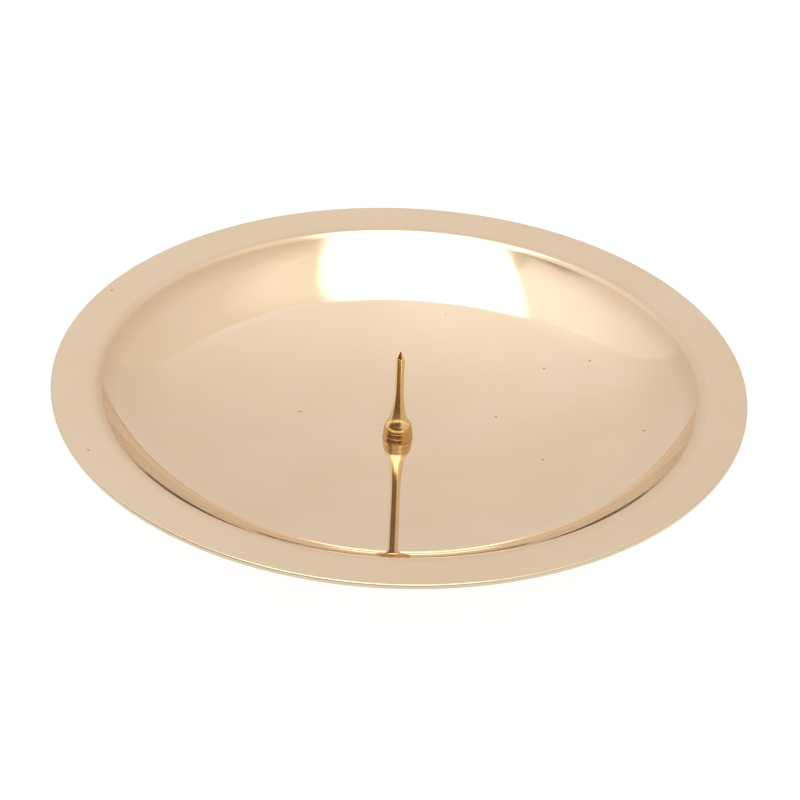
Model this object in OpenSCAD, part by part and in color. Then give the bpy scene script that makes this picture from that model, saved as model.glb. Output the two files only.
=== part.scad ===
// Candle plate: a spun brass dish on a soldered foot ring, with a turned brass
// spike that screws through a seat ring and the dish into a nut below.
// Z = 0 is the underside of the felt, and the spike stands on the Z axis.

/* [Dish] */
// Outside diameter of the rim
dish_d = 140; // [124:1:180]
// Thickness of the brass sheet
sheet_t = 1; // [0.7:0.1:1.4]
// Width of the rim, from its edge to the start of the bend
rim_w = 8.8; // [5:0.1:15]
// Upward slope of the rim towards its edge, in degrees
rim_slope = 2.5; // [0.5:0.5:8]
// Rounding of the rim's two arrises
rim_arris_r = 0.3; // [0.1:0.05:0.3]
// Radius of the bend between wall and rim, on the top face
bend_r = 2.2; // [1.5:0.1:4]
// Steepest slope of the wall, just below the bend, in degrees
wall_slope = 46; // [35:1:60]
// Radius of the curve of the wall, on the top face
wall_r = 28; // [18:0.5:34]
// Radius of the curve of the floor, on the top face
floor_r = 180; // [130:5:300]
// Diameter of the flat seat in the middle of the floor
seat_d = 12; // [10:0.5:20]

/* [Spike] */
// Height of the spike's point over the middle of the floor
spike_h = 20.5; // [16:0.5:40]
// Diameter of the seat ring at its foot, where the taper of its side begins
foot_d = 6.2; // [6:0.1:9]
// Lean of the sides of seat ring and band, in degrees from upright
foot_taper = 6; // [0:1:10]
// Height of the seat ring under the spike
seat_ring_h = 1.1; // [0.8:0.1:2]
// Height of the band at the bottom of the spike
band_h = 1.1; // [0.8:0.1:2]
// Rounding of the arrises of the band and of the seat ring
foot_arris_r = 0.12; // [0.08:0.01:0.2]
// Depth of the fine line between band and bell
line_depth = 0.05; // [0.02:0.01:0.07]
// Diameter of the shaft that goes into the candle
shaft_d = 1.76; // [1.5:0.02:2.6]
// Height of the conical point
point_h = 1.5; // [0.8:0.1:3]
// Diameter of the small flat on the point
tip_d = 0.3; // [0.2:0.05:0.6]
// Radius of the bell's convex shoulder
shoulder_r = 2.4; // [1.6:0.1:2.5]
// Slope of the bell between shoulder and throat, in degrees from the axis
shoulder_slope = 37; // [30:1:42]
// Radius of the hollow curve at the bell's throat
throat_r = 4.3; // [3:0.1:5.5]
// Radius of the long hollow curve that runs into the shaft
cove_r = 31; // [20:0.5:38]

/* [Fastening] */
// Outside diameter of the thread on the stud
thread_d = 4; // [3.5:0.1:4.2]
// Rise of the thread for each turn
thread_pitch = 0.7; // [0.5:0.05:0.8]
// Radial clearance between thread or shank and what it passes through
thread_gap = 0.05; // [0.02:0.01:0.1]
// Radial clearance of the holes in dish, washers and seat ring
hole_gap = 0.12; // [0.05:0.01:0.2]
// Diameter of the flat washer
washer_d = 9; // [8:0.5:10]
// Thickness of the flat washer
washer_t = 0.8; // [0.5:0.1:1.6]
// Diameter of the spring lock washer
lock_washer_d = 7.6; // [6.5:0.1:8.5]
// Thickness of the spring lock washer
lock_washer_t = 0.9; // [0.6:0.1:1.2]
// Width of the split in the lock washer
lock_split_w = 0.6; // [0.3:0.1:1]
// Width of the nut across its flats
nut_af = 7; // [6.5:0.1:8]
// Height of the nut
nut_h = 2.2; // [1.8:0.1:3.2]
// Length of stud that stands out below the nut
stud_end = 0.6; // [0.3:0.1:1.2]

/* [Foot] */
// Height of the dish's underside over the table, at the middle
underside_h = 5.6; // [5.2:0.1:9]
// Outside diameter of the foot ring at the bottom
foot_ring_d = 71; // [60:1:84]
// Lean of the foot ring's wall, in degrees from upright
foot_ring_lean = 12; // [0:1:20]
// Thickness of the foot ring's sheet
foot_sheet_t = 1; // [0.8:0.1:1.2]
// Width of the flange turned in under the foot ring
flange_w = 6.5; // [6.4:0.1:9]
// Outside radius of the corner between foot ring wall and flange
foot_corner_r = 1.6; // [1.3:0.1:1.7]
// Width of the felt ring
felt_w = 4.6; // [3:0.1:4.8]
// Thickness of the felt ring
felt_t = 1.5; // [1:0.1:2.5]
// Thickness of the adhesive film over the felt
film_t = 0.2; // [0.1:0.05:0.3]

/* [Hidden] */
$fn = 180;
// Widest gap between a curve and the short straights that draw it
curve_gap = 0.004;

brass_polished = "#DDBF95";
brass_turned = "#D9B25A";
brass_plain = "#C9A766";
steel_plated = "#B9BCBE";
felt_green = "#274A34";
film_clear = "#D8D2C0";

// Levels on the Z axis
floor_z = underside_h + sheet_t;
spike_z = floor_z + seat_ring_h;
washer_z = underside_h - washer_t;
lock_z = washer_z - lock_washer_t;
nut_z = lock_z - nut_h;
stud_z = nut_z - stud_end;
film_z = felt_t;
flange_z = felt_t + film_t;

// Direction at an angle counted from straight down, and points along an arc
// after its first. A negative radius puts the arc on the centre's other side.
function toward(angle) = [sin(angle), -cos(angle)];
function arc(centre, r, from, to) =
    let (steps = ceil(abs(to - from) / (2 * acos(1 - curve_gap / abs(r)))))
    [for (i = [1:steps]) centre + r * toward(from + (to - from) * i / steps)];

// Arcs of the dish's top face, each tangent to the next. A slope is in degrees
// from level, and a centre is [distance from the axis, height].
rim_in_r = dish_d / 2 - rim_w;
seat_r = seat_d / 2;
wall_run = wall_r * sin(wall_slope) + bend_r * (sin(wall_slope) - sin(rim_slope));
floor_slope = asin((rim_in_r - seat_r - wall_run) / (floor_r - wall_r));
floor_c = [seat_r, floor_z + floor_r];
wall_c = floor_c + (floor_r - wall_r) * toward(floor_slope);
bend_c = wall_c + (wall_r + bend_r) * toward(wall_slope);

// The rim's straight stretch, and the centres of the arrises at its end
rim_start = bend_c - bend_r * toward(rim_slope);
rim_drop = (sheet_t - rim_arris_r) * sin(rim_slope);
rim_flat = (dish_d / 2 - rim_arris_r - rim_drop - rim_start.x) / cos(rim_slope);
rim_end = rim_start + rim_flat * toward(90 + rim_slope);
top_arris_c = rim_end + rim_arris_r * toward(rim_slope);
low_arris_c = rim_end + (sheet_t - rim_arris_r) * toward(rim_slope);

// Radii of the fastening. The depth is that of a metric thread, as a share of
// its pitch.
shank_r = thread_d / 2 - thread_gap;
thread_depth = 0.61343 * thread_pitch;
core_r = thread_d / 2 - thread_depth;
nut_bore_r = core_r + thread_gap;
hole_r = thread_d / 2 + hole_gap;
stud_chamfer = thread_pitch / 2;

// Sides of seat ring and band, and the centres of the arrises at their ends
foot_r = foot_d / 2;
function foot_arris_c(z) =
    [foot_r - (z - floor_z) * tan(foot_taper) - foot_arris_r / cos(foot_taper), z];
side_angle = 90 + foot_taper;
bell_z = spike_z + band_h;
low_seat_c = foot_arris_c(floor_z + foot_arris_r);
top_seat_c = foot_arris_c(spike_z - foot_arris_r);
low_band_c = foot_arris_c(spike_z + foot_arris_r);
top_band_c = foot_arris_c(bell_z - foot_arris_r);
band_end = 180 - asin(1 - line_depth / foot_arris_r);

// Arcs of the spike, from the band up to the shaft. A slope is in degrees from
// the axis.
shaft_r = shaft_d / 2;
bell_r = top_band_c.x + foot_arris_r - line_depth;
shoulder_c = [bell_r - shoulder_r, bell_z];
throat_c = shoulder_c + (shoulder_r + throat_r) * toward(90 + shoulder_slope);
throat_slope = acos((shaft_r + cove_r - throat_c.x) / (cove_r - throat_r));
cove_c = throat_c + (cove_r - throat_r) * toward(90 + throat_slope);
tip_z = floor_z + spike_h;
point_z = tip_z - point_h;

// Foot ring, felt and film
foot_ring_r = foot_ring_d / 2;
flange_in_r = foot_ring_r - flange_w;
felt_in_r = flange_in_r + (flange_w - foot_corner_r - felt_w) / 2;
foot_corner_c = [foot_ring_r - foot_corner_r, flange_z + foot_corner_r];

// Height at which a line of the foot ring's leaning wall meets the dish's
// underside, as a length along the line from its start
function up_to_dish(start) =
    let (
        offset = start - floor_c,
        along = -offset * toward(180 + foot_ring_lean),
        under_r = floor_r + sheet_t
    )
    along - sqrt(along * along - offset * offset + under_r * under_r);
function wall_line(r) =
    let (start = foot_corner_c + r * toward(90 + foot_ring_lean))
    [start, start + up_to_dish(start) * toward(180 + foot_ring_lean)];
foot_outside = wall_line(foot_corner_r);
foot_inside = wall_line(foot_corner_r - foot_sheet_t);

// Flat ring on the Z axis
module flat_ring(z, height, inner_r, outer_r) {
    translate([0, 0, z]) rotate_extrude() {
        translate([inner_r, 0]) square([outer_r - inner_r, height]);
    }
}

module dish() {
    color(brass_polished) rotate_extrude() polygon(concat(
        [[hole_r, floor_z], [seat_r, floor_z]],
        arc(floor_c, floor_r, 0, floor_slope),
        arc(wall_c, wall_r, floor_slope, wall_slope),
        arc(bend_c, -bend_r, wall_slope, rim_slope),
        [rim_end],
        arc(top_arris_c, rim_arris_r, 180 + rim_slope, 90 + rim_slope),
        [low_arris_c + rim_arris_r * toward(90 + rim_slope)],
        arc(low_arris_c, rim_arris_r, 90 + rim_slope, rim_slope),
        [rim_start + sheet_t * toward(rim_slope)],
        arc(bend_c, sheet_t - bend_r, rim_slope, wall_slope),
        arc(wall_c, wall_r + sheet_t, wall_slope, floor_slope),
        arc(floor_c, floor_r + sheet_t, floor_slope, 0),
        [[hole_r, underside_h]]
    ));
}

module seat_ring() {
    color(brass_turned) rotate_extrude() polygon(concat(
        [[hole_r, floor_z], [low_seat_c.x, floor_z]],
        arc(low_seat_c, foot_arris_r, 0, side_angle),
        [top_seat_c + foot_arris_r * toward(side_angle)],
        arc(top_seat_c, foot_arris_r, side_angle, 180),
        [[hole_r, spike_z]]
    ));
}

module spike() {
    color(brass_turned) rotate_extrude() polygon(concat(
        [
            [0, stud_z],
            [core_r - stud_chamfer, stud_z],
            [core_r, stud_z + stud_chamfer],
            [core_r, washer_z],
            [shank_r, washer_z],
            [shank_r, spike_z],
            [low_band_c.x, spike_z],
        ],
        arc(low_band_c, foot_arris_r, 0, side_angle),
        [top_band_c + foot_arris_r * toward(side_angle)],
        arc(top_band_c, foot_arris_r, side_angle, band_end),
        [[bell_r, bell_z]],
        arc(shoulder_c, shoulder_r, 90, 90 + shoulder_slope),
        arc(throat_c, -throat_r, 90 + shoulder_slope, 90 + throat_slope),
        arc(cove_c, -cove_r, 90 + throat_slope, 90),
        [[shaft_r, point_z], [tip_d / 2, tip_z], [0, tip_z]]
    ));
}

module flat_washer() {
    color(steel_plated) flat_ring(washer_z, washer_t, hole_r, washer_d / 2);
}

module lock_washer() {
    split_angle = 20;
    color(steel_plated) difference() {
        flat_ring(lock_z, lock_washer_t, hole_r, lock_washer_d / 2);
        translate([0, -lock_washer_d / 2, lock_z + lock_washer_t / 2]) rotate([0, split_angle, 0])
            cube([lock_split_w, lock_washer_d, 3 * lock_washer_t], center = true);
    }
}

// Cone-sided blank that leaves the nut's corners chamfered
module nut_blank_2d() {
    corner_r = nut_af / 2 / cos(30);
    chamfer_h = (corner_r - nut_af / 2) * tan(30);
    polygon([
        [nut_bore_r, thread_pitch / 2],
        [nut_bore_r + thread_pitch / 2, 0],
        [nut_af / 2, 0],
        [corner_r, chamfer_h],
        [corner_r, nut_h - chamfer_h],
        [nut_af / 2, nut_h],
        [nut_bore_r + thread_pitch / 2, nut_h],
        [nut_bore_r, nut_h - thread_pitch / 2],
    ]);
}

module hex_nut() {
    color(steel_plated) translate([0, 0, nut_z]) intersection() {
        cylinder(r = nut_af / 2 / cos(30), h = nut_h, $fn = 6);
        rotate_extrude() nut_blank_2d();
    }
}

module foot_ring() {
    color(brass_plain) rotate_extrude() polygon(concat(
        [
            [flange_in_r, flange_z + foot_sheet_t],
            [flange_in_r, flange_z],
            [foot_corner_c.x, flange_z],
        ],
        arc(foot_corner_c, foot_corner_r, 0, 90 + foot_ring_lean),
        [foot_outside[1], foot_inside[1], foot_inside[0]],
        arc(foot_corner_c, foot_corner_r - foot_sheet_t, 90 + foot_ring_lean, 0)
    ));
}

module felt_ring() {
    color(felt_green) flat_ring(0, felt_t, felt_in_r, felt_in_r + felt_w);
}

module felt_adhesive() {
    color(film_clear) flat_ring(film_z, film_t, felt_in_r, felt_in_r + felt_w);
}

dish();
seat_ring();
spike();
flat_washer();
lock_washer();
hex_nut();
foot_ring();
felt_ring();
felt_adhesive();
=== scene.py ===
import math
import bpy
from mathutils import Matrix, Vector, noise


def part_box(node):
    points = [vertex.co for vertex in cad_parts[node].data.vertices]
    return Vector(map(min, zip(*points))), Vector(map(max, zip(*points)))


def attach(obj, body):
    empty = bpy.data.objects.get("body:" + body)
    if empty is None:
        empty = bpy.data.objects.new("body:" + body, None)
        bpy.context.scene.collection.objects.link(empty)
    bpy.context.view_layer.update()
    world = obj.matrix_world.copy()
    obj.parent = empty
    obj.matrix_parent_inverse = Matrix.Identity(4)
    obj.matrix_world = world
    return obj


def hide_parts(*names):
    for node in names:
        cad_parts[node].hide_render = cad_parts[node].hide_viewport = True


# Candle plate of spun brass with a turned spike, shown on white in a light tent.
# The profiles are written in millimetres and turned to metres where a mesh is made.

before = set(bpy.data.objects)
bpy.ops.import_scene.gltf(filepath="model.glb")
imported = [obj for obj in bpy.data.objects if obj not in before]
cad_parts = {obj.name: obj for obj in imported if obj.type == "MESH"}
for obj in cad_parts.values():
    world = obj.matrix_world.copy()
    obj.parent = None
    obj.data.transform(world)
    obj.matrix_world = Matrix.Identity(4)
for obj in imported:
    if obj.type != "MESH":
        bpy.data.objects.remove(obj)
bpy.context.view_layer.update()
mm = 0.001
scene = bpy.context.scene
print("frame loaded")


# Colours and nodes

def hexColour(text):                                  # sRGB hex to the linear colour that Blender works in
    parts = [int(text[i:i + 2], 16) / 255 for i in (1, 3, 5)]
    return [c / 12.92 if c <= 0.04045 else ((c + 0.055) / 1.055) ** 2.4 for c in parts] + [1.0]


# Inputs come by name or as a list in their order. Each is a value, a hex colour, a socket, or a node for its output.
def addNode(tree, kind, settings=None, inputs=()):
    node = tree.nodes.new(kind)
    for name, value in (settings or {}).items():
        setattr(node, name, value)
    named = {socket.name: socket for socket in reversed(node.inputs) if socket.enabled}
    for key, value in inputs.items() if isinstance(inputs, dict) else enumerate(inputs):
        socket = named[key] if isinstance(key, str) else node.inputs[key]
        if isinstance(value, bpy.types.Node):
            value = next(output for output in value.outputs if output.enabled)
        if isinstance(value, bpy.types.NodeSocket):
            tree.links.new(value, socket)
        else:
            socket.default_value = hexColour(value) if isinstance(value, str) else value
    return node


multiply = {"operation": "MULTIPLY"}
colourMix = {"data_type": "RGBA"}
smooth = {"interpolation_type": "SMOOTHSTEP"}


def startMaterial(name):
    material = bpy.data.materials.new(name)
    material.use_nodes = True
    material.node_tree.nodes.clear()
    return material, material.node_tree


def finishMaterial(tree, settings):                   # the Principled shader and the output that end each material
    shader = addNode(tree, "ShaderNodeBsdfPrincipled", None, settings)
    addNode(tree, "ShaderNodeOutputMaterial", None, {"Surface": shader})


def perMetre(millimetres):                            # noise and Voronoi scale whose features are this wide
    return 1000 / millimetres


def linesPerMetre(millimetres):                       # wave texture scale for lines this far apart: 314 mm at scale 1
    return 314 / millimetres


# Profiles: a sample is (radius, height, outward normal's radius part, outward normal's height part)

def direction(degrees):                               # counted from straight down, towards the rim
    return math.sin(math.radians(degrees)), -math.cos(math.radians(degrees))


def along(start, degrees, distance):
    x, z = direction(degrees)
    return start[0] + distance * x, start[1] + distance * z


def arcSamples(centre, radius, start, end, steps):    # a negative radius bends the surface the other way
    samples = []
    for i in range(steps + 1):
        x, z = direction(start + (end - start) * i / steps)
        samples.append((centre[0] + radius * x, centre[1] + radius * z, -x, -z))
    return samples


def outside(samples):                                 # the same samples seen from the arc's outer side
    return [(r, z, -nr, -nz) for r, z, nr, nz in samples]


def roundedOutline(corners, steps=5):                 # closed, counterclockwise; a corner: (radius, height, rounding)
    samples = []
    count = len(corners)
    for i, (r, z, rounding) in enumerate(corners):
        before = Vector(corners[i - 1][:2])
        here = Vector((r, z))
        after = Vector(corners[(i + 1) % count][:2])
        into, out = (here - before).normalized(), (after - here).normalized()
        turn = into.angle_signed(out)                 # negative for a counterclockwise turn
        reach = rounding * abs(math.tan(turn / 2))
        side = -1 if turn > 0 else 1
        centre = here - into * reach + Vector((-into.y, into.x)) * rounding * side
        for k in range(steps + 1):
            angle = -turn * k / steps
            normal = Vector((into.y, -into.x))
            normal = Vector((normal.x * math.cos(angle) - normal.y * math.sin(angle),
                             normal.x * math.sin(angle) + normal.y * math.cos(angle)))
            point = centre + normal * rounding * side
            samples.append((point.x, point.y, normal.x, normal.y))
    return samples


def lathe(name, samples, segments, closed=True):      # revolves about Z; a sample on the axis becomes a pole
    vertices, normals, faces, rows = [], [], [], []
    for r, z, nr, nz in samples:
        if r < 1e-6:
            rows.append([len(vertices)])
            vertices.append((0, 0, z * mm))
            normals.append((0, 0, 1 if nz > 0 else -1))
            continue
        rows.append(list(range(len(vertices), len(vertices) + segments)))
        for i in range(segments):
            c, s = math.cos(2 * math.pi * i / segments), math.sin(2 * math.pi * i / segments)
            vertices.append((r * c * mm, r * s * mm, z * mm))
            normals.append((nr * c, nr * s, nz))
    pairs = list(zip(rows, rows[1:] + rows[:1])) if closed else list(zip(rows, rows[1:]))
    for low, high in pairs:
        for i in range(segments):
            j = (i + 1) % segments
            if len(low) == 1:
                faces.append((low[0], high[j], high[i]))
            elif len(high) == 1:
                faces.append((low[i], low[j], high[0]))
            else:
                faces.append((low[i], low[j], high[j], high[i]))
    return makePiece(name, vertices, faces, normals)


def makePiece(name, vertices, faces, normals=None):
    mesh = bpy.data.meshes.new(name)
    mesh.from_pydata(vertices, [], faces)
    mesh.validate()
    mesh.shade_smooth()
    if normals:
        mesh.normals_split_custom_set_from_vertices(normals)
    piece = bpy.data.objects.new(name, mesh)
    scene.collection.objects.link(piece)
    return piece


def place(piece, body, node, material):         # what every piece of the plate needs
    piece.data.materials.clear()
    piece.data.materials.append(material)
    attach(piece, body)
    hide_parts(node)


# Camera: looks down at 33 degrees with a small roll, from 745 mm

camera = {
    "elevation": 32.95,
    "roll": 2.34,
    "distance": 0.745,
    "lens": 166.5,
    "target": (0, 0, 0.0194),
    "offCentre": (-0.0001, 0.0044),                   # from the picture's middle to the target, in focal lengths
}
elevation, roll = math.radians(camera["elevation"]), math.radians(camera["roll"])
forward = Vector((0, math.cos(elevation), -math.sin(elevation)))
level = Vector((1, 0, 0))
upright = level.cross(forward)
right = math.cos(roll) * level + math.sin(roll) * upright
up = -math.sin(roll) * level + math.cos(roll) * upright
cameraData = bpy.data.cameras.new("camera")
cameraData.lens = camera["lens"]
cameraData.sensor_width = 36
cameraData.clip_start = 0.01
cameraObject = bpy.data.objects.new("camera", cameraData)
scene.collection.objects.link(cameraObject)
offCentre = camera["offCentre"]
sight = forward + offCentre[0] * right + offCentre[1] * up
pose = Matrix((right, up, -forward)).transposed().to_4x4()
pose.translation = Vector(camera["target"]) - camera["distance"] * sight
cameraObject.matrix_world = pose
scene.camera = cameraObject
scene.view_settings.view_transform = "Standard"       # whites stay white, as in a catalogue picture
print("camera set")


# Light: a tent of pale paper round the plate, open overhead and where the camera looks in.
# A seam is a plane through the plate and two points on a ceiling one unit overhead, then its blur's start and end.

tent = {
    "back": ("#CEC4BD", "#D2C9C2", "#DED6D0", "#EEE6E1", "#F7F0EB"),
    "left": ("#D9D1CC", "#DDD5D0", "#E8E0DB", "#F5EEE8", "#FFF9F3"),
    "right": ("#CFC3B6", "#D1C5B8", "#D5CABD", "#DDD1C3", "#F2E8DC"),
    "heights": (0.30, 0.52, 0.68, 0.80, 0.90),        # sine of the elevation at each colour
    "backShade": "#B08C80",                           # warmer tint on the back paper's right half
    "backShadeAmount": 0.11,
    "backSeam": ((0, 0), (0, 1), -0.07, 0.07),
    "leftSeam": ((-0.20, 0.50), (-1.10, 1.08), -0.015, 0.02),
    "rightSeam": ((0.20, 0.60), (0.62, 1.05), -0.02, 0.02),
    "paperStrength": 1.37,
    "openingLeft": ((-0.28, 0.45), (-0.58, -0.45), -0.02, 0.03),
    "openingRight": ((0.13, 0.52), (0.35, -0.20), -0.03, 0.04),
    "openingTop": ((-0.30, 0.60), (0.30, 0.66), -0.01, 0.02),
    "openingHeights": (0.55, 0.75),                   # sine of the elevation where it begins and is full
    "openingColour": "#FFFFFF",
    "openingStrength": 2.9,
    "front": (-0.46, -0.89),                          # the way the dark front opening lies
    "frontWidth": (0.35, 0.55),                       # cosine of the angle where it begins and is full
    "frontHeights": (0.02, 0.12, 0.72, 0.79),         # where it begins, is full, begins to fade and ends
    "frontColour": "#614A31",
}
world = bpy.data.worlds.new("lightTent")
scene.world = world
world.use_nodes = True
sky = world.node_tree
sky.nodes.clear()
way = addNode(sky, "ShaderNodeTexCoord").outputs["Generated"]
height = addNode(sky, "ShaderNodeSeparateXYZ", None, [way]).outputs["Z"]


def panelColour(stops):
    ramp = addNode(sky, "ShaderNodeValToRGB", None, [height])
    band = ramp.color_ramp
    while len(band.elements) < len(stops):
        band.elements.new(0.5)
    for element, position in zip(band.elements, tent["heights"]):
        element.position = position
    for element, text in zip(band.elements, stops):
        element.color = hexColour(text)
    return ramp


def side(seam, inside):                               # 1 on the side of a seam where inside points, else 0
    a, b, start, end = seam
    plane = Vector((*a, 1)).cross(Vector((*b, 1))).normalized()
    if plane.dot(Vector(inside)) < 0:
        plane = -plane
    away = addNode(sky, "ShaderNodeVectorMath", {"operation": "DOT_PRODUCT"}, [way, plane])
    return addNode(sky, "ShaderNodeMapRange", smooth, [away, start, end, 0.0, 1.0])


shade = addNode(sky, "ShaderNodeMath", multiply, [side(tent["backSeam"], (1, 0, 0)), tent["backShadeAmount"]])
paper = addNode(sky, "ShaderNodeMix", colourMix,
                {"Factor": shade, "A": panelColour(tent["back"]), "B": tent["backShade"]})
for name, inside in (("left", (-1, 0, 0.5)), ("right", (1, 0, 0.5))):
    paper = addNode(sky, "ShaderNodeMix", colourMix,
                    {"Factor": side(tent[name + "Seam"], inside), "A": paper, "B": panelColour(tent[name])})
opening = addNode(sky, "ShaderNodeMapRange", smooth, [height, *tent["openingHeights"], 0.0, 1.0])
for name, inside in (("openingLeft", (0.1, -0.5, 1)), ("openingRight", (0.1, -0.5, 1)), ("openingTop", (0, 0, 1))):
    opening = addNode(sky, "ShaderNodeMath", multiply, [opening, side(tent[name], inside)])
shown = addNode(sky, "ShaderNodeMix", colourMix, {"Factor": opening, "A": paper, "B": tent["openingColour"]})
towardFront = addNode(sky, "ShaderNodeVectorMath", {"operation": "DOT_PRODUCT"},
                      [way, Vector((*tent["front"], 0)).normalized()])
dark = addNode(sky, "ShaderNodeMapRange", smooth, [towardFront, *tent["frontWidth"], 0.0, 1.0])
low, full, fade, end = tent["frontHeights"]
for start, stop in ((low, full), (end, fade)):
    within = addNode(sky, "ShaderNodeMapRange", smooth, [height, start, stop, 0.0, 1.0])
    dark = addNode(sky, "ShaderNodeMath", multiply, [dark, within])
shown = addNode(sky, "ShaderNodeMix", colourMix, {"Factor": dark, "A": shown, "B": tent["frontColour"]})
strength = addNode(sky, "ShaderNodeMapRange", None,
                   [opening, 0.0, 1.0, tent["paperStrength"], tent["openingStrength"]])
background = addNode(sky, "ShaderNodeBackground", None, {"Color": shown, "Strength": strength})
addNode(sky, "ShaderNodeOutputWorld", None, {"Surface": background})
print("light tent set")


# Floor: white paper, bright enough to lose its shadows as in the photograph, and clear when seen from below

floorSizes = {
    "halfWidth": 3.0,                                 # metres
    "level": -0.00003,                                # just under the felt
    "grain": 20 / 3,                                  # millimetres: coarser than real paper's, so that it shows
    "tones": (0.11, 0.13),
    "glow": 0.93,
}
whitePaper, tree = startMaterial("whitePaper")
grain = addNode(tree, "ShaderNodeTexNoise", None,
                {"Scale": 2 * floorSizes["halfWidth"] * perMetre(floorSizes["grain"]), "Detail": 4.0})
tone = addNode(tree, "ShaderNodeMapRange", None, [grain, 0.0, 1.0, *floorSizes["tones"]])
sheet = addNode(tree, "ShaderNodeBsdfPrincipled", None,
                {"Base Color": addNode(tree, "ShaderNodeCombineColor", None, [tone, tone, tone]),
                 "Roughness": 0.9, "Emission Color": "#FFFFFF", "Emission Strength": floorSizes["glow"]})
clear = addNode(tree, "ShaderNodeBsdfTransparent")
below = addNode(tree, "ShaderNodeNewGeometry").outputs["Backfacing"]
addNode(tree, "ShaderNodeOutputMaterial", None,
        {"Surface": addNode(tree, "ShaderNodeMixShader", None, [below, sheet, clear])})
floorCorners = [(x * floorSizes["halfWidth"], y * floorSizes["halfWidth"], floorSizes["level"])
                for x, y in ((-1, -1), (1, -1), (1, 1), (-1, 1))]
floor = makePiece("floor", floorCorners, [(0, 1, 2, 3)])
floor.data.materials.append(whitePaper)
print("floor made")


# Materials: patterns are laid in object space, and the sizes among their values are in millimetres

brassValues = {
    "metal": ("#E8D8C2", "#E5D5BA"),                  # the lacquer's tint drifts between these
    "cloud": 22,
    "haze": 4,
    "polish": (0.012, 0.045),                         # roughness where it is clearest and haziest
    "speckGrid": 10,                                  # at most one speck in a cell this wide
    "speckWidth": (0.018, 0.040),                     # in cells: dark inside the first, gone at the second
    "speckChance": (0.90, 0.93),
    "speck": "#8F7454",
    "speckAmount": 0.62,
    "toolRings": 1.3,
    "ringDepth": 0.0006,
    "dullInner": (56.8, 60.0),                        # radii where the dull zone begins and is full
    "dullOuter": (62.5, 60.0),                        # radii where it ends and is full
    "dullMetal": "#B5946A",
    "dullAmount": 0.35,
    "dullRoughness": 0.10,
    "metallic": (0.93, 0.80),                         # where it is polished and where it is dull
}


def polishedBrass(values):
    # Spun sheet, buffed to a mirror and lacquered: sharp reflections, waved a little by the spinning tool's rings,
    # with a thin haze in patches and a few small dark specks where tarnish has started under the lacquer. The bend
    # and the top of the wall, where the buffing wheel hardly reaches, are duller, so what they mirror runs together.
    # It is a little less than fully metallic, so that what the wall mirrors many times doesn't sink to black.
    material, tree = startMaterial("polishedBrass")
    space = addNode(tree, "ShaderNodeTexCoord").outputs["Object"]
    cloud = addNode(tree, "ShaderNodeTexNoise", None,
                    {"Vector": space, "Scale": perMetre(values["cloud"]), "Detail": 3.0})
    haze = addNode(tree, "ShaderNodeTexNoise", None,
                   {"Vector": space, "Scale": perMetre(values["haze"]), "Detail": 5.0})
    tint = addNode(tree, "ShaderNodeMapRange", None, [cloud, 0.35, 0.65, 0.0, 1.0])
    metal = addNode(tree, "ShaderNodeMix", colourMix,
                    {"Factor": tint, "A": values["metal"][0], "B": values["metal"][1]})
    cells = addNode(tree, "ShaderNodeTexVoronoi", {"voronoi_dimensions": "2D"},
                    {"Vector": space, "Scale": perMetre(values["speckGrid"])})
    spot = addNode(tree, "ShaderNodeMapRange", None, [cells.outputs["Distance"], *values["speckWidth"], 1.0, 0.0])
    lot = addNode(tree, "ShaderNodeSeparateColor", None, [cells.outputs["Color"]])
    chosen = addNode(tree, "ShaderNodeMapRange", None, [lot, *values["speckChance"], 0.0, values["speckAmount"]])
    speck = addNode(tree, "ShaderNodeMath", multiply, [spot, chosen])
    rings = addNode(tree, "ShaderNodeTexWave", {"wave_type": "RINGS", "rings_direction": "Z"},
                    {"Vector": space, "Scale": linesPerMetre(values["toolRings"]), "Distortion": 1.5, "Detail": 2.0,
                     "Detail Scale": 0.6})
    relief = addNode(tree, "ShaderNodeBump", None,
                     {"Strength": 0.35, "Distance": values["ringDepth"] * mm, "Height": rings.outputs["Fac"]})
    flattened = addNode(tree, "ShaderNodeVectorMath", multiply, [space, (1, 1, 0)])
    fromAxis = addNode(tree, "ShaderNodeVectorMath", {"operation": "LENGTH"}, [flattened])
    outer, inner = [addNode(tree, "ShaderNodeMapRange", None, [fromAxis, start * mm, full * mm, 0.0, 1.0])
                    for start, full in (values["dullOuter"], values["dullInner"])]
    dull = addNode(tree, "ShaderNodeMath", multiply, [outer, inner])
    polish = addNode(tree, "ShaderNodeMapRange", None, [haze, 0.3, 0.75, *values["polish"]])
    rough = addNode(tree, "ShaderNodeMath", {"operation": "MULTIPLY_ADD"}, [dull, values["dullRoughness"], polish])
    dulled = addNode(tree, "ShaderNodeMath", multiply, [dull, values["dullAmount"]])
    metal = addNode(tree, "ShaderNodeMix", colourMix, {"Factor": dulled, "A": metal, "B": values["dullMetal"]})
    colour = addNode(tree, "ShaderNodeMix", colourMix, {"Factor": speck, "A": metal, "B": values["speck"]})
    metallic = addNode(tree, "ShaderNodeMapRange", None, [dull, 0.0, 1.0, *values["metallic"]])
    finishMaterial(tree, {"Base Color": colour, "Metallic": metallic, "Roughness": rough, "Normal": relief})
    return material


barValues = {
    "metal": ("#F0D6A8", "#E8CD9C"),
    "wear": 1.6,
    "roughness": (0.06, 0.10),
    "feed": 0.14,                                     # the real feed is finer: drawn coarser, so that it shows
    "feedDepth": 0.0016,
    "footHeights": (15.0, 12.5),                      # where the rougher foot begins and is full
    "footRoughness": 0.14,
    # the colour of the painted shade in the corner above the seat
    "seatShade": "#BC8B45",
    "seatShadeHeights": (11.0, 9.0),                    # painted shade darkens the colour from here down into the corner at the seat
    "seatShadeAmount": 0.6,
}


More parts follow.
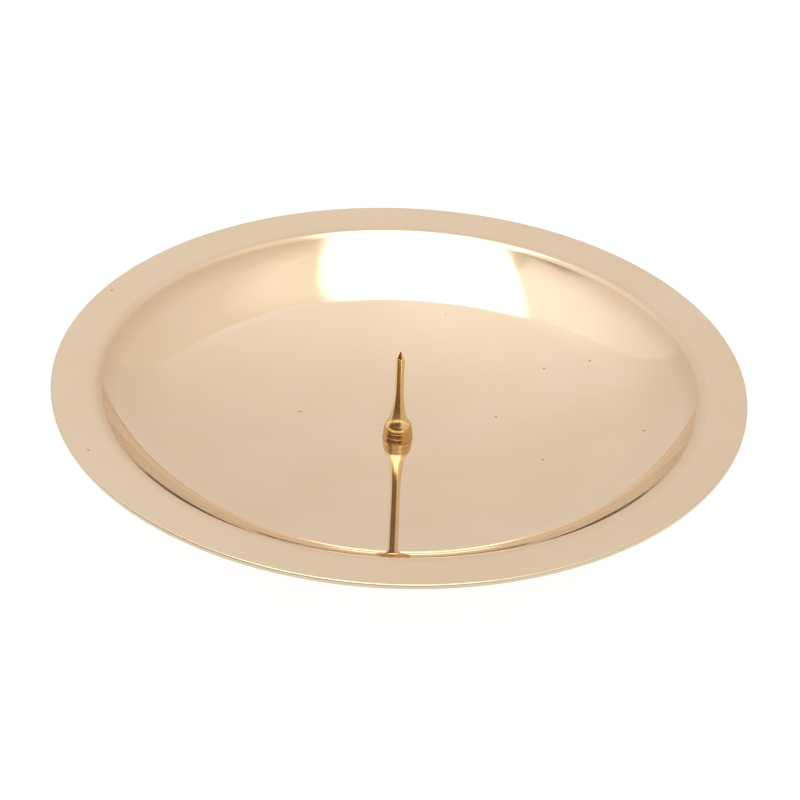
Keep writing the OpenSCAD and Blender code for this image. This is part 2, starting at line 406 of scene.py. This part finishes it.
def turnedBrass(values):
    # Bar stock turned on a lathe and lightly polished: fine grooves around the axis stretch each highlight upwards,
    # and its colour is a deeper yellow than the lacquered sheet's. The thick foot is less well polished than the
    # shaft, and its colour is darkened just above the seat with painted shade, where foot and seat ring meet.
    material, tree = startMaterial("turnedBrass")
    space = addNode(tree, "ShaderNodeTexCoord").outputs["Object"]
    lines = addNode(tree, "ShaderNodeTexWave", {"wave_type": "BANDS", "bands_direction": "Z"},
                    {"Vector": space, "Scale": linesPerMetre(values["feed"]), "Distortion": 0.6, "Detail": 2.0})
    wear = addNode(tree, "ShaderNodeTexNoise", None,
                   {"Vector": space, "Scale": perMetre(values["wear"]), "Detail": 4.0})
    relief = addNode(tree, "ShaderNodeBump", None,
                     {"Strength": 0.5, "Distance": values["feedDepth"] * mm, "Height": lines.outputs["Fac"]})
    heightUp = addNode(tree, "ShaderNodeSeparateXYZ", None, [space]).outputs["Z"]
    # foot: rougher polish; corner: how much painted shade darkens the colour above the seat
    foot, corner = [addNode(tree, "ShaderNodeMapRange", None, [heightUp, start * mm, full * mm, 0.0, amount])
                    for (start, full), amount in ((values["footHeights"], values["footRoughness"]),
                                                  (values["seatShadeHeights"], values["seatShadeAmount"]))]
    rough = addNode(tree, "ShaderNodeMapRange", None, [wear, 0.3, 0.7, *values["roughness"]])
    rough = addNode(tree, "ShaderNodeMath", {"operation": "ADD"}, [foot, rough])
    tint = addNode(tree, "ShaderNodeMapRange", None, [wear, 0.3, 0.7, 0.0, 1.0])
    metal = addNode(tree, "ShaderNodeMix", colourMix,
                    {"Factor": tint, "A": values["metal"][0], "B": values["metal"][1]})
    # painted shade: the colour darkens towards the seat, where foot and seat ring meet
    colour = addNode(tree, "ShaderNodeMix", colourMix, {"Factor": corner, "A": metal, "B": values["seatShade"]})
    finishMaterial(tree, {"Base Color": colour, "Metallic": 1.0, "Roughness": rough, "Normal": relief})
    return material


def cutBrassEdge():
    # The rim's edge as the trimming tool left it: fine lines run along it and blur what it reflects to a soft grey.
    # They are drawn a little coarser than real ones.
    material, tree = startMaterial("cutBrassEdge")
    space = addNode(tree, "ShaderNodeTexCoord").outputs["Object"]
    lines = addNode(tree, "ShaderNodeTexWave", {"wave_type": "BANDS", "bands_direction": "Z"},
                    {"Vector": space, "Scale": linesPerMetre(0.2), "Distortion": 2.0, "Detail": 3.0})
    colour = addNode(tree, "ShaderNodeMix", colourMix,
                     {"Factor": lines.outputs["Color"], "A": "#CDBFA2", "B": "#DACDB2"})
    rough = addNode(tree, "ShaderNodeMapRange", None, [lines.outputs["Fac"], 0.0, 1.0, 0.32, 0.45])
    finishMaterial(tree, {"Base Color": colour, "Metallic": 1.0, "Roughness": rough})
    return material


def satinBrass():
    # The foot ring, spun and only brushed: a silky shine with rings around the axis, drawn coarser so that they show.
    material, tree = startMaterial("satinBrass")
    space = addNode(tree, "ShaderNodeTexCoord").outputs["Object"]
    rings = addNode(tree, "ShaderNodeTexWave", {"wave_type": "RINGS", "rings_direction": "Z"},
                    {"Vector": space, "Scale": linesPerMetre(0.35), "Distortion": 1.0, "Detail": 3.0})
    cloud = addNode(tree, "ShaderNodeTexNoise", None, {"Vector": space, "Scale": perMetre(6), "Detail": 4.0})
    relief = addNode(tree, "ShaderNodeBump", None,
                     {"Strength": 0.5, "Distance": 0.008 * mm, "Height": rings.outputs["Fac"]})
    colour = addNode(tree, "ShaderNodeMix", colourMix, {"Factor": cloud, "A": "#E2CB9C", "B": "#D3B885"})
    rough = addNode(tree, "ShaderNodeMapRange", None, [rings.outputs["Fac"], 0.0, 1.0, 0.24, 0.36])
    finishMaterial(tree, {"Base Color": colour, "Metallic": 1.0, "Roughness": rough, "Normal": relief})
    return material


def zincPlatedSteel():
    # Rolled steel with bright zinc on it: cool grey, slightly mottled, with a soft shine.
    material, tree = startMaterial("zincPlatedSteel")
    space = addNode(tree, "ShaderNodeTexCoord").outputs["Object"]
    mottle = addNode(tree, "ShaderNodeTexNoise", None, {"Vector": space, "Scale": perMetre(0.8), "Detail": 5.0})
    relief = addNode(tree, "ShaderNodeBump", None, {"Strength": 0.4, "Distance": 0.01 * mm, "Height": mottle})
    tint = addNode(tree, "ShaderNodeMapRange", None, [mottle, 0.3, 0.7, 0.0, 1.0])
    colour = addNode(tree, "ShaderNodeMix", colourMix, {"Factor": tint, "A": "#C9CCCF", "B": "#B5B8BE"})
    rough = addNode(tree, "ShaderNodeMapRange", None, [mottle, 0.3, 0.7, 0.22, 0.38])
    finishMaterial(tree, {"Base Color": colour, "Metallic": 1.0, "Roughness": rough, "Normal": relief})
    return material


def softSolder():
    # The seam between foot ring and dish: dull tin colour, wiped while it was hot.
    material, tree = startMaterial("softSolder")
    space = addNode(tree, "ShaderNodeTexCoord").outputs["Object"]
    ripple = addNode(tree, "ShaderNodeTexNoise", None, {"Vector": space, "Scale": perMetre(2), "Detail": 4.0})
    relief = addNode(tree, "ShaderNodeBump", None, {"Strength": 0.5, "Distance": 0.04 * mm, "Height": ripple})
    colour = addNode(tree, "ShaderNodeMix", colourMix, {"Factor": ripple, "A": "#C8C7C2", "B": "#AFADA6"})
    rough = addNode(tree, "ShaderNodeMapRange", None, [ripple, 0.0, 1.0, 0.28, 0.46])
    finishMaterial(tree, {"Base Color": colour, "Metallic": 1.0, "Roughness": rough, "Normal": relief})
    return material


def woolFelt():
    # Pressed wool: matt green with lighter and darker fibres matted every way, drawn coarser than real ones to show.
    material, tree = startMaterial("woolFelt")
    space = addNode(tree, "ShaderNodeTexCoord").outputs["Object"]
    fibres = addNode(tree, "ShaderNodeTexNoise", None, {"Vector": space, "Scale": perMetre(0.35), "Detail": 8.0,
                                                        "Roughness": 0.7, "Distortion": 2.5})
    patches = addNode(tree, "ShaderNodeTexNoise", None, {"Vector": space, "Scale": perMetre(5), "Detail": 2.0})
    tint = addNode(tree, "ShaderNodeMapRange", None, [fibres, 0.3, 0.7, 0.0, 1.0])
    wool = addNode(tree, "ShaderNodeMix", colourMix, {"Factor": tint, "A": "#163A27", "B": "#3E6B4E"})
    worn = addNode(tree, "ShaderNodeMapRange", None, [patches, 0.0, 1.0, 0.0, 0.35])
    colour = addNode(tree, "ShaderNodeMix", colourMix, {"Factor": worn, "A": wool, "B": "#24513A"})
    relief = addNode(tree, "ShaderNodeBump", None, {"Strength": 0.9, "Distance": 0.25 * mm, "Height": fibres})
    finishMaterial(tree, {"Base Color": colour, "Roughness": 0.95, "Sheen Weight": 0.4, "Sheen Roughness": 0.5,
                          "Normal": relief})
    return material


def adhesiveFilm():
    # Clear film with a layer of acrylic glue: pale, a little cloudy, with small trapped bubbles.
    material, tree = startMaterial("adhesiveFilm")
    space = addNode(tree, "ShaderNodeTexCoord").outputs["Object"]
    bubbles = addNode(tree, "ShaderNodeTexVoronoi", None, {"Vector": space, "Scale": perMetre(0.7)})
    cloudy = addNode(tree, "ShaderNodeMapRange", None, [bubbles, 0.1, 0.5, 0.0, 1.0])
    colour = addNode(tree, "ShaderNodeMix", colourMix, {"Factor": cloudy, "A": "#C9C1AB", "B": "#DCD5C4"})
    rough = addNode(tree, "ShaderNodeMapRange", None, [bubbles, 0.0, 1.0, 0.25, 0.45])
    finishMaterial(tree, {"Base Color": colour, "Roughness": rough})
    return material


# Dish

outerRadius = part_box("dish")[1].x / mm                # levels and sizes taken from the CAD boxes
floorHeight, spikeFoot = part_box("seat_ring")[0].z / mm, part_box("seat_ring")[1].z / mm
spikeEnd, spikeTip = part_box("spike")[0].z / mm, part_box("spike")[1].z / mm
nutLow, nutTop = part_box("hex_nut")[0].z / mm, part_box("hex_nut")[1].z / mm
washerLow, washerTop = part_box("flat_washer")[0].z / mm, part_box("flat_washer")[1].z / mm
lockLow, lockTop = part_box("lock_washer")[0].z / mm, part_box("lock_washer")[1].z / mm
filmLow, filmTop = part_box("felt_adhesive")[0].z / mm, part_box("felt_adhesive")[1].z / mm

dishSizes = {
    "rimWidth": 8.8,
    "rimSlope": 2.5,
    "bendRadius": 2.2,
    "wallSlope": 46,
    "wallRadius": 28,
    "floorRadius": 180,
    "seatRadius": 6,
    "sheet": 1.0,
    "arris": 0.3,
    "holeRadius": 2.12,
    "cutEdge": 0.22,                                  # how far in from the outer edge the trimmed finish reaches
}


def sine(degrees):
    return math.sin(math.radians(degrees))


def dishOutline(size):                                # floor, wall, bend and rim are arcs that run into each other
    slope, wall = size["rimSlope"], size["wallSlope"]
    wallRadius, bend, floorRadius = size["wallRadius"], size["bendRadius"], size["floorRadius"]
    arris, sheet = size["arris"], size["sheet"]
    run = wallRadius * sine(wall) + bend * (sine(wall) - sine(slope))
    floorSlope = math.degrees(math.asin((outerRadius - size["rimWidth"] - size["seatRadius"] - run)
                                        / (floorRadius - wallRadius)))
    floorCentre = (size["seatRadius"], floorHeight + floorRadius)
    wallCentre = along(floorCentre, floorSlope, floorRadius - wallRadius)
    bendCentre = along(wallCentre, wall, wallRadius + bend)
    rimStart = along(bendCentre, slope, -bend)
    flat = (outerRadius - arris - (sheet - arris) * sine(slope) - rimStart[0]) / math.cos(math.radians(slope))
    top = [(size["holeRadius"], floorHeight, 0, 1)]
    top += arcSamples(floorCentre, floorRadius, 0, floorSlope, 24)
    top += arcSamples(wallCentre, wallRadius, floorSlope, wall, 60)[1:]
    top += arcSamples(bendCentre, -bend, wall, slope, 40)[1:]
    nr, nz = -direction(slope)[0], -direction(slope)[1]
    for i in range(1, 9):
        r, z = along(rimStart, 90 + slope, flat * i / 8)
        top.append((r, z, nr, nz))
    under = [(r - sheet * nr, z - sheet * nz, -nr, -nz) for r, z, nr, nz in reversed(top)]
    topCentre = along(top[-1][:2], slope, arris)
    lowCentre = along(top[-1][:2], slope, sheet - arris)
    around = outside(arcSamples(topCentre, arris, 180 + slope, 90, 8))[1:]
    around += outside(arcSamples(lowCentre, arris, 90, slope, 8))[:-1]
    return top + around + under


dish = lathe("dish.sheet", list(reversed(dishOutline(dishSizes))), 384)
place(dish, "plate", "dish", polishedBrass(brassValues))
dish.data.materials.append(cutBrassEdge())
for face in dish.data.polygons:                       # the rim's upright edge and most of its two arrises
    radius = min(Vector(dish.data.vertices[i].co[:2]).length for i in face.vertices)
    if radius > (outerRadius - dishSizes["cutEdge"]) * mm:
        face.material_index = 1
print("dish made")


# Spike

spikeSizes = {
    "footRadius": 3.1,
    "footTaper": 6,
    "bandHeight": 1.1,
    "arris": 0.12,
    "groove": 0.05,
    "shaftRadius": 0.88,
    "pointHeight": 1.5,
    "tipRadius": 0.15,
    "shoulderRadius": 2.4,
    "shoulderSlope": 37,
    "throatRadius": 4.3,
    "coveRadius": 31,
    "shankRadius": 1.95,
    "coreRadius": 1.5706,
    "threadPitch": 0.7,
    "threadTop": 4.7,
    "runOut": 0.5,                                    # length over which the thread ends below its top
}


def footEdge(size, z):                                # centre of an arris on the tapered sides of band and seat ring
    taper = math.radians(size["footTaper"])
    return size["footRadius"] - (z - floorHeight) * math.tan(taper) - size["arris"] / math.cos(taper), z


def footSides(size, low, high, lastAngle):            # the side between two levels, with its two arrises
    arris = size["arris"]
    side = 90 + size["footTaper"]
    return (outside(arcSamples(footEdge(size, low + arris), arris, 0, side, 6))
            + outside(arcSamples(footEdge(size, high - arris), arris, side, lastAngle, 6)))


def spikeOutline(size):                               # shank, band, shoulder, throat, cove, shaft and point
    arris, shoulderRadius, throatRadius = size["arris"], size["shoulderRadius"], size["throatRadius"]
    bandEnd = 180 - math.degrees(math.asin(1 - size["groove"] / arris))
    bellHeight = spikeFoot + size["bandHeight"]
    bellRadius = footEdge(size, bellHeight - arris)[0] + arris - size["groove"]
    shoulderCentre = (bellRadius - shoulderRadius, bellHeight)
    shoulder = 90 + size["shoulderSlope"]
    throatCentre = along(shoulderCentre, shoulder, shoulderRadius + throatRadius)
    throat = 90 + math.degrees(math.acos((size["shaftRadius"] + size["coveRadius"] - throatCentre[0])
                                         / (size["coveRadius"] - throatRadius)))
    coveCentre = along(throatCentre, throat, size["coveRadius"] - throatRadius)
    shank = size["shankRadius"]
    samples = [(shank, size["threadTop"] + 0.05, 1, 0), (shank, spikeFoot, 1, 0), (shank, spikeFoot, 0, -1)]
    samples += footSides(size, spikeFoot, bellHeight, bandEnd)
    samples += outside(arcSamples(shoulderCentre, shoulderRadius, 90, shoulder, 16))
    samples += outside(arcSamples(throatCentre, -throatRadius, shoulder, throat, 20))[1:]
    samples += outside(arcSamples(coveCentre, -size["coveRadius"], throat, 90, 30))[1:]
    shaft, point, tip = size["shaftRadius"], spikeTip - size["pointHeight"], size["tipRadius"]
    lean = math.atan2(shaft - tip, size["pointHeight"])
    nr, nz = math.cos(lean), math.sin(lean)
    samples += [(shaft, point - 0.06, 1, 0), (shaft - 0.015, point + 0.06, nr, nz)]
    samples += [(tip + 0.02, spikeTip - 0.03, nr, nz), (tip * 0.7, spikeTip, 0.3, 0.95), (0, spikeTip, 0, 1)]
    return samples


turned = turnedBrass(barValues)
spike = lathe("spike.turned", spikeOutline(spikeSizes), 96, closed=False)
place(spike, "spike", "spike", turned)


def threadRadius(size, z, angle):                     # a right-hand metric thread: the crest climbs with the angle
    turns = z / size["threadPitch"] - angle / (2 * math.pi)
    away = abs((turns % 1.0) - 0.5) * 2               # 0 in the middle of the crest, 1 in the middle of the root
    tooth = min(max((0.75 - away) / 0.625, 0.0), 1.0)
    return size["coreRadius"] + (size["shankRadius"] - size["coreRadius"]) * tooth


def rings(name, rows, segments, closed):              # like a lathe, but each row gives its radius at every angle
    vertices, faces = [], []
    for z, radiusAt in rows:
        for i in range(segments):
            angle = 2 * math.pi * i / segments
            r = radiusAt(angle)
            vertices.append((r * math.cos(angle) * mm, r * math.sin(angle) * mm, z * mm))
    count = len(rows)
    for row in range(count if closed else count - 1):
        low, high = row * segments, (row + 1) % count * segments
        for i in range(segments):
            j = (i + 1) % segments
            faces.append((low + i, low + j, high + j, high + i))
    if not closed:
        faces.append(tuple(reversed(range(segments))))
    return makePiece(name, vertices, faces)


def sharpen(piece, degrees):                          # keeps edges that turn by more than this crisp
    piece.data.set_sharp_from_angle(angle=math.radians(degrees))


def studRows(size):                                   # from the chamfered end up to where the thread runs out
    rows = []
    steps = 24                                        # rows along each pitch
    height = size["threadTop"] - spikeEnd
    count = round(height / size["threadPitch"] * steps)
    for k in range(count + 1):
        z = spikeEnd + height * k / count
        chamfer = size["coreRadius"] - size["threadPitch"] / 2 + (z - spikeEnd)
        runOut = min(max((z - size["threadTop"] + size["runOut"]) / (0.9 * size["runOut"]), 0.0), 1.0)
        full = size["coreRadius"] + (size["shankRadius"] - size["coreRadius"]) * runOut

        def radiusAt(angle, z=z, chamfer=chamfer, full=full):
            return min(chamfer, max(full, threadRadius(size, z, angle)))

        rows.append((z, radiusAt))
    rows.append((size["threadTop"] + 0.1, lambda angle: size["shankRadius"]))
    return rows


thread = rings("spike.thread", studRows(spikeSizes), 96, closed=False)
sharpen(thread, 50)
place(thread, "spike", "spike", turned)
print("spike made")


# Seat ring: a loose turned ring between spike and sheet

ringSizes = {
    "boreRadius": 2.12,
}


def ringSection(low, high, inner, outer, innerArris, outerArris):
    return roundedOutline([(inner, low, innerArris), (outer, low, outerArris),
                           (outer, high, outerArris), (inner, high, innerArris)])


bore = ringSizes["boreRadius"]
seatSection = [(bore, floorHeight, 0, -1)] + footSides(spikeSizes, floorHeight, spikeFoot, 180)
seatSection += [(bore, spikeFoot, 0, 1), (bore, spikeFoot, -1, 0), (bore, floorHeight, -1, 0)]
seatRing = lathe("seatRing.turned", seatSection, 96)
place(seatRing, "seat_ring", "seat_ring", turned)
print("seat ring made")


# Fastening: flat washer, split lock washer and thin nut

washerSizes = {
    "boreRadius": 2.12,
    "radius": 4.5,
    "arrises": (0.1, 0.15),                           # at the bore and outside
}
plated = zincPlatedSteel()
washerSection = ringSection(washerLow, washerTop, washerSizes["boreRadius"], washerSizes["radius"],
                            *washerSizes["arrises"])
washer = lathe("flatWasher.stamped", washerSection, 96)
place(washer, "plate", "flat_washer", plated)

lockSizes = {
    "boreRadius": 2.12,
    "radius": 3.8,
    "splitWidth": 0.6,
    "splitSlant": 20,
    "arris": 0.1,
}


def splitRing(name, size, low, high, segments=96):    # wound from square wire, its two ends cut on a slant
    outline = ringSection(low, high, size["boreRadius"], size["radius"], size["arris"], size["arris"])
    section = [sample[:2] for sample in outline]
    middle = (low + high) / 2
    slant = math.tan(math.radians(size["splitSlant"]))
    half = size["splitWidth"] / 2 / math.cos(math.radians(size["splitSlant"]))
    vertices, faces = [], []
    for i in range(segments + 1):
        for r, z in section:
            start = -math.pi / 2 + math.asin((slant * (z - middle) + half) / r)
            end = 3 * math.pi / 2 + math.asin((slant * (z - middle) - half) / r)
            angle = start + (end - start) * i / segments
            vertices.append((r * math.cos(angle) * mm, r * math.sin(angle) * mm, z * mm))
    count = len(section)
    for i in range(segments):
        for k in range(count):
            n = (k + 1) % count
            faces.append((i * count + k, (i + 1) * count + k, (i + 1) * count + n, i * count + n))
    faces.append(tuple(range(count)))
    faces.append(tuple(segments * count + k for k in reversed(range(count))))
    return makePiece(name, vertices, faces)


lockWasher = splitRing("lockWasher.wound", lockSizes, lockLow, lockTop)
sharpen(lockWasher, 35)
place(lockWasher, "plate", "lock_washer", plated)

nutSizes = {
    "acrossFlats": 7,
    "cornerWear": 0.06,                               # taken off the six corners
    "threadGap": 0.05,                                # between the threads of nut and stud
}


def nutRows(size, thread):                            # up the outside, then down the threaded bore
    flat = size["acrossFlats"] / 2
    corner = flat / math.cos(math.radians(30))
    chamfer = (corner - flat) * math.tan(math.radians(30))
    bore = thread["coreRadius"] + size["threadGap"]
    height = nutTop - nutLow

    def outerRow(z):
        cone = flat + min(z, height - z) / math.tan(math.radians(30))
        widest = min(cone, corner - size["cornerWear"])
        return nutLow + z, lambda angle: min(widest, flat / math.cos(angle % (math.pi / 3) - math.pi / 6))

    def boreRow(z):
        lead = bore + thread["threadPitch"] / 2 - min(z, height - z)
        return nutLow + z, lambda angle: max(lead, threadRadius(thread, nutLow + z, angle) + size["threadGap"])

    ends = [chamfer * k / 8 for k in range(9)]
    rows = [outerRow(z) for z in ends + [height - z for z in reversed(ends)]]
    steps = round(height / thread["threadPitch"] * 24)
    rows += [boreRow(height * (steps - k) / steps) for k in range(steps + 1)]
    return rows


nut = rings("hexNut.threaded", nutRows(nutSizes, spikeSizes), 96, closed=True)
sharpen(nut, 25)
place(nut, "plate", "hex_nut", plated)
print("fastening made")


# Foot ring with its solder seam, felt and film

footSizes = {
    "radius": 35.5,
    "lean": 12,
    "sheet": 1.0,
    "flangeWidth": 6.5,
    "cornerRadius": 1.6,
    "edge": 0.25,
    "wallReach": 0.3,                                 # how far the wall runs into the dish's sheet
    "seam": 0.45,
}
floorCurve = (dishSizes["seatRadius"], floorHeight + dishSizes["floorRadius"])
underRadius = dishSizes["floorRadius"] + dishSizes["sheet"]


def underside(r):                                     # height of the dish's underside, below its curved floor
    return floorCurve[1] - math.sqrt(underRadius ** 2 - (r - floorCurve[0]) ** 2)


def wallTop(start, lean, inside):                     # where the leaning wall ends, this far inside the dish's sheet
    r, z = start
    for _ in range(20):
        z = underside(r) + inside
        r = start[0] - (z - start[1]) * math.tan(math.radians(lean))
    return r, z


def footOutline(size):
    lean, corner, sheet = size["lean"], size["cornerRadius"], size["sheet"]
    inner = size["radius"] - size["flangeWidth"]
    edge = size["edge"]
    centre = (size["radius"] - corner, filmTop + corner)
    wall = 90 + lean
    outerStart = along(centre, wall, corner)
    innerStart = along(centre, wall, corner - sheet)
    nr, nz = direction(wall)
    samples = [(inner + edge, filmTop, 0, -1)]
    samples += outside(arcSamples(centre, corner, 0, wall, 12))
    samples.append((*wallTop(outerStart, lean, size["wallReach"]), nr, nz))
    samples.append((*wallTop(innerStart, lean, size["wallReach"]), -nr, -nz))
    samples += arcSamples(centre, corner - sheet, wall, 0, 8)
    samples += outside(arcSamples((inner + edge, filmTop + sheet - edge), edge, 180, 270, 5))
    samples += outside(arcSamples((inner + edge, filmTop + edge), edge, 270, 360, 5))[:-1]
    return samples


def seamOutline(size):                                # concave fillet of solder in the corner outside the wall
    centre = (size["radius"] - size["cornerRadius"], filmTop + size["cornerRadius"])
    start = along(centre, 90 + size["lean"], size["cornerRadius"])
    r, z = wallTop(start, size["lean"], 0.0)
    seam = size["seam"]
    low = (r + seam * math.tan(math.radians(size["lean"])), z - seam)
    far = (r + seam, underside(r + seam))
    samples = [(r - 0.2, z + 0.1, -0.7, 0.7), (low[0] - 0.1, low[1], -1, 0)]
    for k in range(9):
        t = k / 8
        bend = (1 - t) ** 2, 2 * t * (1 - t), t ** 2
        samples.append((bend[0] * low[0] + bend[1] * (r + 0.04) + bend[2] * far[0],
                        bend[0] * low[1] + bend[1] * (z - 0.04) + bend[2] * far[1],
                        math.cos(math.radians(90 * t)), -math.sin(math.radians(90 * t))))
    samples.append((far[0], far[1] + 0.1, 0, 1))
    return samples


footRing = lathe("footRing.spun", footOutline(footSizes), 192)
place(footRing, "plate", "foot_ring", satinBrass())
seam = lathe("footRing.seam", seamOutline(footSizes), 192)
place(seam, "plate", "foot_ring", softSolder())

feltSizes = {
    "width": 4.6,
    "edge": 0.4,
    "topEdge": 0.15,
    "step": 0.35,                                     # distance between the points that carry its unevenness
    "depth": 0.07,
    "lumps": ((2600, 0.6), (900, 0.4)),               # lumps per metre and their share: 0.4 and 1.1 mm wide
}
flangeInner = footSizes["radius"] - footSizes["flangeWidth"]
feltInner = flangeInner + (footSizes["flangeWidth"] - footSizes["cornerRadius"] - feltSizes["width"]) / 2
feltOuter = feltInner + feltSizes["width"]
feltSection = roundedOutline([(feltInner, 0, feltSizes["edge"]), (feltOuter, 0, feltSizes["edge"]),
                              (feltOuter, filmLow, feltSizes["topEdge"]),
                              (feltInner, filmLow, feltSizes["topEdge"])], 6)
dense = []                                            # more points along the flat stretches, for the uneven surface
for (r, z, nr, nz), after in zip(feltSection, feltSection[1:] + feltSection[:1]):
    across, climb = after[0] - r, after[1] - z
    pieces = max(1, int(math.hypot(across, climb) / feltSizes["step"]))
    dense += [(r + across * k / pieces, z + climb * k / pieces, nr, nz) for k in range(pieces)]
felt = lathe("feltRing.pressed", dense, 420)
for vertex in felt.data.vertices:                     # matted wool is never quite flat: a noise moves each point
    radial = Vector((vertex.co.x, vertex.co.y, 0)).normalized()
    lumps = sum(noise.noise(vertex.co * scale) * share for scale, share in feltSizes["lumps"])
    depth = lumps * feltSizes["depth"] * mm
    lift = max(0.0, depth) if vertex.co.z < 0.3 * mm else 0.0   # the underside only moves up, off the table
    vertex.co += radial * depth
    vertex.co.z += lift
felt.data.update()
place(felt, "plate", "felt_ring", woolFelt())

filmSizes = {
    "edge": 0.05,
}
filmSection = ringSection(filmLow, filmTop, feltInner, feltOuter, filmSizes["edge"], filmSizes["edge"])
film = lathe("feltAdhesive.film", filmSection, 192)
place(film, "plate", "felt_adhesive", adhesiveFilm())
print("foot made")
